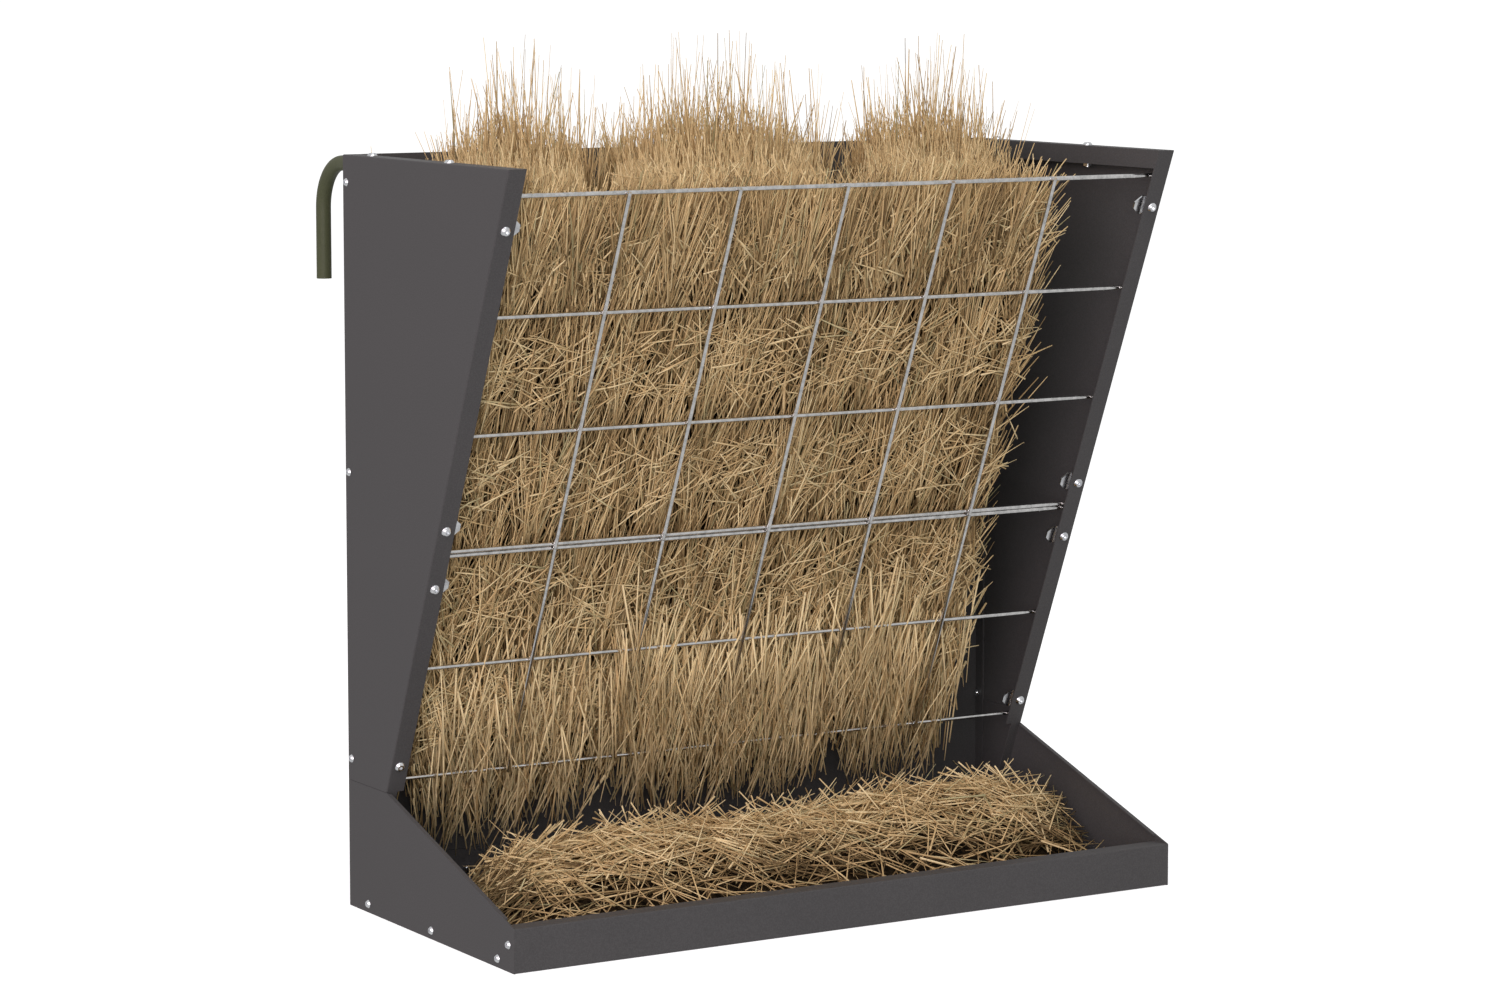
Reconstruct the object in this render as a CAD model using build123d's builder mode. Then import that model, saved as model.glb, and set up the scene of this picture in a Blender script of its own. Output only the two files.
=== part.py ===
"""Hay rack feeder: a sheet-metal hopper with a sloping wire-mesh front over a trough, hung on two hooks.

Millimetres, +Z up, +X to the right as an animal faces the mesh, front towards -Y. The origin is on the
floor, at the centre of the whole feeder's outline.
"""

from build123d import *
import math
import os

# ---- driving dimensions ----------------------------------------------------------------------------
WIDTH = 700.0  # outside of one side panel to the outside of the other
HEIGHT = 695.0
TOP_DEPTH = 322.0  # back plane to the front of the hopper, at the top
THROAT_DEPTH = 77.5  # the same at the throat, where the hopper meets the trough
THROAT_HEIGHT = 118.0
TROUGH_DEPTH = 323.0
LIP_HEIGHT = 39.5
SHEET = 1.5  # all folded sheet

STRIP_WIDTH = 17.5  # front strip and top channel of a side panel
CHANNEL_LIP = 17.0  # inner lip that turns down from the top channel
TONGUE_BOTTOM = 20.0  # a side panel's tongue hangs inside the trough end down to this height
TONGUE_LAP = 14.0  # and laps the side panel this far above the seam
TONGUE_STRIP = 10.0
SEAM_GAP = 0.3
HEM = 4.0  # inward hem on the sloping edge of a trough end

PAN_FLANGE = 18.0  # top flange of the front lip, and the tabs at its ends
PAN_END_FLANGE = 16.0  # upturned ends of the trough floor
PAN_UPSTAND = 41.0  # upturned back of the trough floor
BACK_FLANGE = 14.0  # forward side flanges of the back panel
NOTCH_PLAY = 1.0  # the back panel's top corners are cut this clear of the channels
SHEET_PLAY = 2.0  # gap left between flanges that meet in a corner

WIRE = 4.0
COLUMN_PITCH = 112.2
ROW_PITCH = 116.9
FIRST_ROW = 29.2  # down the slope from the top corner to the top wire
MESH_ROWS = {"mesh_upper": (FIRST_ROW, 4), "mesh_lower": (FIRST_ROW + 3 * ROW_PITCH + WIRE + 0.4, 3)}
WIRE_OVERHANG = 2.0  # horizontal wires run this far past the end wires

HOOK_DIAMETER = 14.0
HOOK_WALL = 2.0
HOOK_LEG = 60.0  # back plane to the centre line of the hanging leg
HOOK_BEND = 43.0  # bend radius on the centre line
HOOK_DROP = 108.5  # arm centre line to the foot of the leg
HOOK_ARM = 232.0  # back plane to the front end of the arm

STRIP_BOLTS = (58.9, 354.0, 413.2, 599.6)  # down the slope from the top corner
HOOK_BOLTS = (43.0, 195.0)  # forward of the back plane
BACK_BOLT_HEIGHTS = (138.5, 404.5, 670.0)
BACK_BOLT_INSET = 7.0
PAN_BOLT_HEIGHT = 8.0
PAN_BOLTS = (39.0, 166.0, 293.0)  # forward of the back plane
LIP_BOLT = (313.0, 24.0)  # forward of the back plane, height
UPSTAND_BOLTS = (-230.0, 0.0, 230.0)
UPSTAND_BOLT_HEIGHT = 22.0
HOLE_PLAY = 0.5  # a hole is wider than its bolt by this much

HAY_GAP_TO_MESH = 58.0
HAY_LEFT, HAY_RIGHT = -322.0, 280.0
HAY_BOTTOM = 140.0
HAY_LEVEL = 688.0
TUFTS = ((-300.0, -160.0), (-132.0, 88.0), (136.0, 280.0))  # left and right ends of each tuft
TUFT_TOP = 806.0
TUFT_BACK, TUFT_FRONT = 50.0, 190.0

# ---- places worked out from them ---------------------------------------------------------------------
BACK = (TROUGH_DEPTH - HOOK_LEG - HOOK_DIAMETER / 2) / 2  # y of the back plane
SIDE = WIDTH / 2
INSIDE = SIDE - SHEET
THROAT_Y = BACK - THROAT_DEPTH
TOP_Y = BACK - TOP_DEPTH
FRONT_Y = BACK - TROUGH_DEPTH
SLOPE = (TOP_DEPTH - THROAT_DEPTH) / (HEIGHT - THROAT_HEIGHT)  # forward lean for each unit of height
SLANT = math.hypot(1.0, SLOPE)
SHEET_ALONG_Y = SHEET * SLANT  # a sloping sheet's thickness measured along Y
STRIP_BOLT_X = SIDE - STRIP_WIDTH / 2
CLIP_DEPTH = SHEET + WIRE  # front of the strip to the front of a clip
NUT_DEPTH = CLIP_DEPTH + SHEET
HOOK_X = INSIDE - HOOK_DIAMETER / 2 - 0.25
HOOK_Z = HEIGHT - SHEET - HOOK_DIAMETER / 2 - 0.2
FRONT_NORMAL = (0, -1 / SLANT, -SLOPE / SLANT)  # out of the mesh, forward and down


def slope_y(height):
    """Y of the sloping front plane at a height."""
    return THROAT_Y - (height - THROAT_HEIGHT) * SLOPE


def slope_plane(x, down, depth=0.0):
    """A plane on the sloping front: `down` along the slope from the top corner, `depth` behind the surface."""
    run = down / SLANT
    y = TOP_Y + run * SLOPE - depth * FRONT_NORMAL[1]
    z = HEIGHT - run - depth * FRONT_NORMAL[2]
    return Plane(origin=(x, y, z), x_dir=(1, 0, 0), z_dir=FRONT_NORMAL)


def side_profile(x, thickness, *points):
    """Inside a part: a plate of that outline in the YZ plane, from x towards +X."""
    with BuildSketch(Plane.YZ.offset(x)) as profile:
        with BuildLine():
            Polyline(*points, close=True)
        make_face()
    extrude(profile.sketch, amount=thickness)


def front_strip(x, width, low, high):
    """Inside a part: a strip of sheet lying in the sloping front plane between two heights."""
    side_profile(
        x,
        width,
        (slope_y(low), low),
        (slope_y(high), high),
        (slope_y(high) + SHEET_ALONG_Y, high),
        (slope_y(low) + SHEET_ALONG_Y, low),
    )


def save(part, name):
    part.label = name
    export_step(part, f"parts/{name}.step")


# ---- fastener shapes ---------------------------------------------------------------------------------
def button_bolt(diameter, head, head_height, socket, length):
    """A button-head bolt with a hexagon socket: seat on z = 0, shank down."""
    shank_radius = diameter / 2 - 0.05
    with BuildPart() as bolt:
        with BuildSketch(Plane.XZ):
            with BuildLine():
                Polyline(
                    (socket, head_height), (0, head_height), (0, -length), (shank_radius, -length),
                    (shank_radius, 0), (head / 2, 0), (head / 2, head_height * 0.18),
                )
                ThreePointArc(
                    (head / 2, head_height * 0.18),
                    (head * 0.4, head_height * 0.72),
                    (socket, head_height),
                )
            make_face()
        revolve(axis=Axis.Z)
        with BuildSketch(Plane.XY.offset(head_height)):
            RegularPolygon(socket / 2, 6, major_radius=False)
        extrude(amount=-head_height * 0.6, mode=Mode.SUBTRACT)
    return bolt.part


def hex_nut(diameter, across_flats, height):
    """A hexagon nut hanging below z = 0."""
    with BuildPart() as nut:
        with BuildSketch():
            RegularPolygon(across_flats / 2, 6, major_radius=False)
            Circle(diameter / 2, mode=Mode.SUBTRACT)
        extrude(amount=-height)
        chamfer(nut.edges().filter_by(GeomType.LINE).filter_by(Axis.Z), 0.4)
    return nut.part


M5_HEAD, M5_HEAD_HEIGHT, M5_NUT, M5_NUT_HEIGHT = 9.5, 2.75, 8.0, 4.0
M4_HEAD, M4_HEAD_HEIGHT, M4_NUT, M4_NUT_HEIGHT = 7.6, 2.2, 7.0, 3.2
strip_bolt = button_bolt(5, M5_HEAD, M5_HEAD_HEIGHT, 3.0, NUT_DEPTH + M5_NUT_HEIGHT + 1)
hook_bolt = button_bolt(5, M5_HEAD, M5_HEAD_HEIGHT, 3.0, SHEET + 0.2 + HOOK_DIAMETER + M5_NUT_HEIGHT + 1)
panel_bolt = button_bolt(4, M4_HEAD, M4_HEAD_HEIGHT, 2.5, 2 * SHEET + M4_NUT_HEIGHT + 1)
m5_nut = hex_nut(5, M5_NUT, M5_NUT_HEIGHT)
m4_nut = hex_nut(4, M4_NUT, M4_NUT_HEIGHT)

strip_places = [(side * STRIP_BOLT_X, down) for side in (-1, 1) for down in STRIP_BOLTS]
hook_places = [(side * HOOK_X, BACK - forward) for side in (-1, 1) for forward in HOOK_BOLTS]
left_back_points = [(BACK - BACK_BOLT_INSET, height) for height in BACK_BOLT_HEIGHTS]
left_pan_points = [(BACK - forward, PAN_BOLT_HEIGHT) for forward in PAN_BOLTS]
left_pan_points.append((BACK - LIP_BOLT[0], LIP_BOLT[1]))


def side_planes(points, x):
    """Planes facing outwards on both sides of the feeder, at the given (y, z) points."""
    return [
        Plane(origin=(side * x, y, z), x_dir=(0, side, 0), z_dir=(side, 0, 0))
        for side in (-1, 1)
        for y, z in points
    ]


def drill_sideways(points, diameter):
    """Inside a part: holes along X through everything on the left, at (y, z) points."""
    with Locations(*[Plane(origin=(-SIDE, y, z), z_dir=(-1, 0, 0)) for y, z in points]):
        Hole((diameter + HOLE_PLAY) / 2, depth=4 * SHEET)


os.makedirs("parts", exist_ok=True)

# ---- side panels: sheet, front strip, top channel and the tongue that hangs inside the trough end ------
with BuildPart() as side_panel_left:
    side_profile(
        -SIDE,
        SHEET,
        (BACK, THROAT_HEIGHT + SEAM_GAP),
        (BACK, HEIGHT),
        (TOP_Y, HEIGHT),
        (slope_y(THROAT_HEIGHT + SEAM_GAP), THROAT_HEIGHT + SEAM_GAP),
    )
    front_strip(-SIDE, STRIP_WIDTH, THROAT_HEIGHT + SEAM_GAP, HEIGHT)
    side_profile(  # top of the channel
        -SIDE,
        STRIP_WIDTH,
        (BACK, HEIGHT - SHEET),
        (BACK, HEIGHT),
        (TOP_Y, HEIGHT),
        (slope_y(HEIGHT - SHEET), HEIGHT - SHEET),
    )
    side_profile(  # inner lip of the channel
        -SIDE + STRIP_WIDTH - SHEET,
        SHEET,
        (BACK, HEIGHT - CHANNEL_LIP),
        (BACK, HEIGHT),
        (TOP_Y, HEIGHT),
        (slope_y(HEIGHT - CHANNEL_LIP), HEIGHT - CHANNEL_LIP),
    )
    side_profile(  # tongue
        -INSIDE,
        SHEET,
        (BACK - BACK_FLANGE - SHEET_PLAY, TONGUE_BOTTOM),
        (BACK - BACK_FLANGE - SHEET_PLAY, THROAT_HEIGHT + TONGUE_LAP),
        (slope_y(THROAT_HEIGHT + TONGUE_LAP), THROAT_HEIGHT + TONGUE_LAP),
        (slope_y(TONGUE_BOTTOM), TONGUE_BOTTOM),
    )
    front_strip(-INSIDE, TONGUE_STRIP, TONGUE_BOTTOM, THROAT_HEIGHT + TONGUE_LAP)
    drill_sideways(left_back_points, 4)
    with Locations(*[slope_plane(x, down) for x, down in strip_places if x < 0]):
        Hole((5 + HOLE_PLAY) / 2, depth=4 * SHEET)
    with Locations(*[Plane.XY.offset(HEIGHT) * Pos(x, y) for x, y in hook_places if x < 0]):
        Hole((5 + HOLE_PLAY) / 2, depth=4 * SHEET)
    folds = side_panel_left.edges().filter_by(GeomType.LINE).filter_by(
        lambda edge: edge.length > HEIGHT / 3 and abs(edge.center().X + SIDE) < 0.01
    )
    front_fold = folds.filter_by(lambda edge: edge.center().Y < BACK - THROAT_DEPTH - 50)
    fillet(front_fold, SHEET * 0.8)
save(side_panel_left.part, "side_panel_left")

with BuildPart() as side_panel_right:
    mirror(side_panel_left.part, about=Plane.YZ)
save(side_panel_right.part, "side_panel_right")

# ---- trough ends: outside the tongue and the pan, with a hem on the sloping edge -------------------------
HEM_FALL = (THROAT_HEIGHT - LIP_HEIGHT) / (TROUGH_DEPTH - THROAT_DEPTH)
HEM_ALONG_Z = SHEET * math.hypot(1.0, HEM_FALL)  # the hem's thickness measured along Z
HEM_BACK, HEM_FRONT = THROAT_Y - 2, FRONT_Y + PAN_FLANGE + 1


def hem_z(y):
    """Height of a trough end's sloping edge at a depth."""
    return THROAT_HEIGHT - (THROAT_Y - y) * HEM_FALL


with BuildPart() as trough_end_left:
    side_profile(
        -SIDE,
        SHEET,
        (BACK, 0),
        (BACK, THROAT_HEIGHT),
        (THROAT_Y, THROAT_HEIGHT),
        (FRONT_Y, LIP_HEIGHT),
        (FRONT_Y, 0),
    )
    side_profile(
        -SIDE,
        HEM,
        (HEM_BACK, hem_z(HEM_BACK)),
        (HEM_FRONT, hem_z(HEM_FRONT)),
        (HEM_FRONT, hem_z(HEM_FRONT) - HEM_ALONG_Z),
        (HEM_BACK, hem_z(HEM_BACK) - HEM_ALONG_Z),
    )
    drill_sideways(left_pan_points, 4)
save(trough_end_left.part, "trough_end_left")

with BuildPart() as trough_end_right:
    mirror(trough_end_left.part, about=Plane.YZ)
save(trough_end_right.part, "trough_end_right")

# ---- back panel: a flat sheet with forward side flanges, notched where the hooks pass --------------------
with BuildPart() as back_panel:
    with BuildSketch(Plane.XZ.offset(-BACK)):
        with BuildLine():
            notch_x = SIDE - STRIP_WIDTH - NOTCH_PLAY
            notch_z = HEIGHT - CHANNEL_LIP - NOTCH_PLAY
            Polyline(
                (-INSIDE, 0), (INSIDE, 0), (INSIDE, notch_z), (notch_x, notch_z), (notch_x, HEIGHT),
                (-notch_x, HEIGHT), (-notch_x, notch_z), (-INSIDE, notch_z), close=True,
            )
        make_face()
        with Locations(*[(x, UPSTAND_BOLT_HEIGHT) for x in UPSTAND_BOLTS]):
            Circle((4 + HOLE_PLAY) / 2, mode=Mode.SUBTRACT)
    extrude(amount=SHEET)
    flange_low, flange_high = PAN_UPSTAND + SHEET_PLAY, HEIGHT - CHANNEL_LIP - 2 * SHEET_PLAY
    side_profile(
        -INSIDE,
        SHEET,
        (BACK - BACK_FLANGE, flange_low),
        (BACK - SHEET, flange_low),
        (BACK - SHEET, flange_high),
        (BACK - BACK_FLANGE, flange_high),
    )
    drill_sideways(left_back_points, 4)
    mirror(about=Plane.YZ)
save(back_panel.part, "back_panel")

# ---- trough pan: floor, front lip with a top flange, back upstand and upturned ends ----------------------
with BuildPart() as trough_pan:
    side_profile(
        -INSIDE,
        2 * INSIDE,
        (FRONT_Y, 0),
        (FRONT_Y, LIP_HEIGHT),
        (FRONT_Y + PAN_FLANGE, LIP_HEIGHT),
        (FRONT_Y + PAN_FLANGE, LIP_HEIGHT - SHEET),
        (FRONT_Y + SHEET, LIP_HEIGHT - SHEET),
        (FRONT_Y + SHEET, SHEET),
        (BACK - 2 * SHEET, SHEET),
        (BACK - 2 * SHEET, PAN_UPSTAND),
        (BACK - SHEET, PAN_UPSTAND),
        (BACK - SHEET, 0),
    )
    lip_folds = trough_pan.edges().filter_by(Axis.X).filter_by(
        lambda edge: abs(edge.center().Y - FRONT_Y) < 0.01
    )
    fillet(lip_folds, SHEET * 0.8)
    flange_back = BACK - BACK_FLANGE - SHEET_PLAY
    flange_front = FRONT_Y + PAN_FLANGE + 2 * SHEET_PLAY
    side_profile(
        -INSIDE,
        SHEET,
        (flange_front, 0),
        (flange_front, PAN_END_FLANGE),
        (flange_back, PAN_END_FLANGE),
        (flange_back, 0),
    )
    side_profile(
        -INSIDE,
        SHEET,
        (FRONT_Y + SHEET / 2, 2 * SHEET_PLAY),
        (FRONT_Y + SHEET / 2, LIP_HEIGHT - SHEET / 2),
        (FRONT_Y + PAN_FLANGE, LIP_HEIGHT - SHEET / 2),
        (FRONT_Y + PAN_FLANGE, 2 * SHEET_PLAY),
    )
    drill_sideways(left_pan_points, 4)
    mirror(about=Plane.YZ)
    with Locations(*[Plane(origin=(x, BACK, UPSTAND_BOLT_HEIGHT), z_dir=(0, 1, 0)) for x in UPSTAND_BOLTS]):
        Hole((4 + HOLE_PLAY) / 2, depth=4 * SHEET)
save(trough_pan.part, "trough_pan")

# ---- mesh panels: upright wires in front, level wires welded behind them ----------------------------------
UPRIGHT_DEPTH = SHEET + WIRE / 2
LEVEL_DEPTH = UPRIGHT_DEPTH + WIRE
COLUMNS = [COLUMN_PITCH * column for column in range(-3, 4)]
LEVEL_LENGTH = 6 * COLUMN_PITCH + WIRE + 2 * WIRE_OVERHANG
for name, (first, count) in MESH_ROWS.items():
    rows = [first + ROW_PITCH * row for row in range(count)]
    upright_length = rows[-1] - rows[0] + WIRE
    middle = (rows[0] + rows[-1]) / 2
    with BuildPart() as mesh:
        with Locations(*[slope_plane(x, middle, UPRIGHT_DEPTH) for x in COLUMNS]):
            Cylinder(WIRE / 2, upright_length, rotation=(90, 0, 0))
        upright_wires = mesh.solids()
    with BuildPart() as level:
        with Locations(*[slope_plane(0, row, LEVEL_DEPTH) for row in rows]):
            Cylinder(WIRE / 2, LEVEL_LENGTH, rotation=(0, 90, 0))
        level_wires = level.solids()
    save(Compound(children=[*upright_wires, *level_wires]), name)

# ---- hooks: bent tube, its arm lying in the top channel ------------------------------------------------------
with BuildPart() as hook_left:
    with BuildLine() as hook_path:
        arm_end = (-HOOK_X, BACK - HOOK_ARM, HOOK_Z)
        corner = (-HOOK_X, BACK + HOOK_LEG, HOOK_Z)
        foot = (-HOOK_X, BACK + HOOK_LEG, HOOK_Z - HOOK_DROP)
        FilletPolyline(arm_end, corner, foot, radius=HOOK_BEND)
    with BuildSketch(Plane(origin=arm_end, z_dir=(0, 1, 0))):
        Circle(HOOK_DIAMETER / 2)
        Circle(HOOK_DIAMETER / 2 - HOOK_WALL, mode=Mode.SUBTRACT)
    sweep(path=hook_path.wire())
    with Locations(*[(x, y, HOOK_Z) for x, y in hook_places if x < 0]):
        Cylinder((5 + HOLE_PLAY) / 2, 2 * HOOK_DIAMETER, mode=Mode.SUBTRACT)
save(hook_left.part, "hook_left")

with BuildPart() as hook_right:
    mirror(hook_left.part, about=Plane.YZ)
save(hook_right.part, "hook_right")

# ---- mesh clips: plates behind the end wires, with a tapered nose past the strip -------------------------------
CLIP_HALF, CLIP_NOSE = 9.0, 16.5  # half height, and reach inwards from the bolt
CLIP_HEEL = INSIDE - STRIP_BOLT_X - 0.5
with BuildPart() as mesh_clips:
    for x, down in strip_places:
        inward = -math.copysign(1, x)
        with BuildSketch(slope_plane(x, down, CLIP_DEPTH)):
            with BuildLine():
                Polyline(
                    (-inward * CLIP_HEEL, -CLIP_HALF), (inward * CLIP_NOSE * 0.6, -CLIP_HALF),
                    (inward * CLIP_NOSE, -CLIP_HALF * 0.35), (inward * CLIP_NOSE, CLIP_HALF * 0.35),
                    (inward * CLIP_NOSE * 0.6, CLIP_HALF), (-inward * CLIP_HEEL, CLIP_HALF), close=True,
                )
            make_face()
            Circle((5 + HOLE_PLAY) / 2, mode=Mode.SUBTRACT)
        extrude(amount=-SHEET)
save(mesh_clips.part, "mesh_clips")

# ---- fasteners, one node for each kind and job ----------------------------------------------------------------
back_planes = [
    Plane(origin=(x, BACK, UPSTAND_BOLT_HEIGHT), x_dir=(-1, 0, 0), z_dir=(0, 1, 0)) for x in UPSTAND_BOLTS
]
fasteners = {
    "mesh_bolts": (strip_bolt, [slope_plane(x, down) for x, down in strip_places]),
    "mesh_nuts": (m5_nut, [slope_plane(x, down, NUT_DEPTH) for x, down in strip_places]),
    "hook_bolts": (hook_bolt, [Plane(origin=(x, y, HEIGHT)) for x, y in hook_places]),
    "hook_nuts": (m5_nut, [Plane(origin=(x, y, HOOK_Z - HOOK_DIAMETER / 2)) for x, y in hook_places]),
    "side_panel_bolts": (panel_bolt, side_planes(left_back_points, SIDE)),
    "side_panel_nuts": (m4_nut, side_planes(left_back_points, INSIDE - SHEET)),
    "trough_bolts": (panel_bolt, side_planes(left_pan_points, SIDE)),
    "trough_nuts": (m4_nut, side_planes(left_pan_points, INSIDE - SHEET)),
    "upstand_bolts": (panel_bolt, back_planes),
    "upstand_nuts": (m4_nut, [plane.offset(-2 * SHEET) for plane in back_planes]),
}
for name, (shape, planes) in fasteners.items():
    with BuildPart() as group:
        with Locations(*planes):
            add(shape)
    save(group.part, name)

# ---- hay: a wedge with three tufts in the hopper, and a heap in the trough -----------------------------------------
HAY_BACK = BACK - 4.0
with BuildPart() as hopper_hay:
    side_profile(
        HAY_LEFT,
        HAY_RIGHT - HAY_LEFT,
        (HAY_BACK, HAY_BOTTOM),
        (HAY_BACK, HAY_LEVEL),
        (slope_y(HAY_LEVEL) + HAY_GAP_TO_MESH, HAY_LEVEL),
        (slope_y(HAY_BOTTOM) + HAY_GAP_TO_MESH, HAY_BOTTOM),
    )
    for left, right in TUFTS:
        with BuildSketch(Plane.XY.offset(HAY_LEVEL)):
            with Locations(((left + right) / 2, BACK - (TUFT_BACK + TUFT_FRONT) / 2)):
                Rectangle(right - left, TUFT_FRONT - TUFT_BACK)
        extrude(amount=TUFT_TOP - HAY_LEVEL, taper=4)
save(hopper_hay.part, "hopper_hay")

with BuildPart() as trough_hay:
    side_profile(
        -332.0,
        660.0,
        (BACK - 44, 4),
        (BACK - 64, 66),
        (BACK - 95, 80),
        (BACK - 200, 62),
        (BACK - 292, 41),
        (BACK - 278, 4),
    )
save(trough_hay.part, "trough_hay")
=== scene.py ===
"""Looks for the hay rack feeder: painted sheet, wires and bolts get their finishes, and the two plain hay
solids are replaced by hay made of separate stems. Metres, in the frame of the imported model."""

import math

import bpy
import numpy as np
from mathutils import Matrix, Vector


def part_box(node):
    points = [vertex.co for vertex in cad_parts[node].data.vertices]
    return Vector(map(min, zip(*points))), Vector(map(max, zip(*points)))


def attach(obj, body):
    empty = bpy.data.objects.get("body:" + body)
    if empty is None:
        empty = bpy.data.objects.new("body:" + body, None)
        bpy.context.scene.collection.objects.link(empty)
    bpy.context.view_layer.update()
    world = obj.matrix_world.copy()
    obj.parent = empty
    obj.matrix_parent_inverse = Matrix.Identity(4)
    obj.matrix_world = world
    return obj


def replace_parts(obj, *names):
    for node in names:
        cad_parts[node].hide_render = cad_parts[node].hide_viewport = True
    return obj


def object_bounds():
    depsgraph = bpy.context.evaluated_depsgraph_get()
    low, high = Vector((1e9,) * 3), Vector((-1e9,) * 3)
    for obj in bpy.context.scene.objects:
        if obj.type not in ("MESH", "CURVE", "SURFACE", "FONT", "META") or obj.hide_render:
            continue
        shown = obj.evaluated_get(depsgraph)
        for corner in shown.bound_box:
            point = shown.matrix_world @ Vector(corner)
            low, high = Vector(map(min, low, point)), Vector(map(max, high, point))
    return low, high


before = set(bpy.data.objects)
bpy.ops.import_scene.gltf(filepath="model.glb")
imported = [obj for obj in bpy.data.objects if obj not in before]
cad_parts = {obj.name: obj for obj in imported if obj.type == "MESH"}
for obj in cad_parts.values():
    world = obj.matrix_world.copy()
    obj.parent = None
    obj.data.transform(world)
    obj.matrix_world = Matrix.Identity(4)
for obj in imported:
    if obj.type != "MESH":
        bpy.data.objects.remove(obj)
cad_low, cad_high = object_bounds()
draw = np.random.default_rng(41)

# ---- places read from the frame ------------------------------------------------------------------------
MM = 0.001
X, Y, Z = 0, 1, 2
SHEET = 1.5 * MM
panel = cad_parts["side_panel_left"].data.vertices
outer_face = np.array([v.co for v in panel if v.co.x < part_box("side_panel_left")[0].x + SHEET / 10])
TOP_Z = outer_face[:, Z].max()
THROAT_Z = outer_face[:, Z].min()
TOP_Y = outer_face[:, Y].min()
THROAT_Y = outer_face[outer_face[:, Z] < THROAT_Z + SHEET][:, Y].min()
BACK_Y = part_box("back_panel")[1].y - SHEET  # inner face of the back sheet
BACK_LIMIT = BACK_Y - 4 * MM  # as far back as a stem may reach
SLANT_LENGTH = math.hypot(TOP_Z - THROAT_Z, THROAT_Y - TOP_Y)
DOWN = np.array((0.0, THROAT_Y - TOP_Y, THROAT_Z - TOP_Z)) / SLANT_LENGTH  # down the sloping front
OUT = np.array((0.0, DOWN[Z], -DOWN[Y]))  # out of the mesh, forward and down
ACROSS = np.array((1.0, 0.0, 0.0))

HAY_LEFT = -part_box("side_panel_right")[0].x + 2 * MM  # clear of the channel lips
HAY_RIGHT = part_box("hopper_hay")[1].x
TUFT_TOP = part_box("hopper_hay")[1].z
TROUGH_FLOOR = SHEET
LIP_BACK_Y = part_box("trough_pan")[0].y + 18 * MM  # behind the lip's top flange


def down_at(z):
    """How far down the sloping front a height lies."""
    return (TOP_Z - z) / -DOWN[Z]


def on_slope(x, down, depth):
    """Points at a distance down the sloping front from its top corner, and at a depth behind its surface."""
    x, down, depth = np.broadcast_arrays(x, down, depth)
    corner = np.array((0.0, TOP_Y, TOP_Z))
    return corner + x[:, None] * ACROSS + down[:, None] * DOWN - depth[:, None] * OUT


def depth_of(points):
    """How far points lie behind the sloping front."""
    return -(points - np.array((0.0, TOP_Y, TOP_Z))) @ OUT


# ---- materials -----------------------------------------------------------------------------------------
def new_material(name, **settings):
    """A material with its Principled shader set, and its nodes and links at hand."""
    material = bpy.data.materials.new(name)
    material.use_nodes = True
    nodes, links = material.node_tree.nodes, material.node_tree.links
    shader = nodes["Principled BSDF"]
    for socket, value in settings.items():
        shader.inputs[socket.replace("_", " ")].default_value = value
    return material, nodes, links, shader


def noise(nodes, links, vector, scale, detail=2.0, roughness=0.5):
    """A noise value at the points of a vector socket."""
    texture = nodes.new("ShaderNodeTexNoise")
    texture.inputs["Scale"].default_value = scale
    texture.inputs["Detail"].default_value = detail
    texture.inputs["Roughness"].default_value = roughness
    links.new(vector, texture.inputs["Vector"])
    return texture.outputs["Fac"]


def remap(nodes, links, value, given, wanted):
    """Turns the given range of a value into the wanted one; each range is (low, high)."""
    node = nodes.new("ShaderNodeMapRange")
    for socket, number in zip(("From Min", "From Max", "To Min", "To Max"), (*given, *wanted)):
        node.inputs[socket].default_value = number
    links.new(value, node.inputs["Value"])
    return node.outputs["Result"]


def ramp(nodes, links, value, *stops):
    """A colour ramp through (place, colour) stops."""
    node = nodes.new("ShaderNodeValToRGB")
    elements = node.color_ramp.elements
    while len(elements) < len(stops):
        elements.new(0.5)
    for element, (place, colour) in zip(elements, stops):
        element.position = place
        element.color = (*colour, 1.0)
    links.new(value, node.inputs["Fac"])
    return node.outputs["Color"]


def blend(nodes, links, factor, first, second, kind="MIX"):
    """Mixes two colours; a factor, or either colour, is a socket or a plain value."""
    node = nodes.new("ShaderNodeMix")
    node.data_type = "RGBA"
    node.blend_type = kind
    for socket, value in zip((node.inputs[0], node.inputs[6], node.inputs[7]), (factor, first, second)):
        if isinstance(value, bpy.types.NodeSocket):
            links.new(value, socket)
        else:
            socket.default_value = value if isinstance(value, float) else (*value, 1.0)
    return node.outputs[2]


def bump(nodes, links, shader, height, strength, distance):
    """Gives a shader a bump from a height value."""
    node = nodes.new("ShaderNodeBump")
    node.inputs["Strength"].default_value = strength
    node.inputs["Distance"].default_value = distance
    links.new(height, node.inputs["Height"])
    links.new(node.outputs["Normal"], shader.inputs["Normal"])


def object_points(nodes):
    """Places in the object's own coordinates, in metres."""
    return nodes.new("ShaderNodeTexCoord").outputs["Object"]


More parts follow.
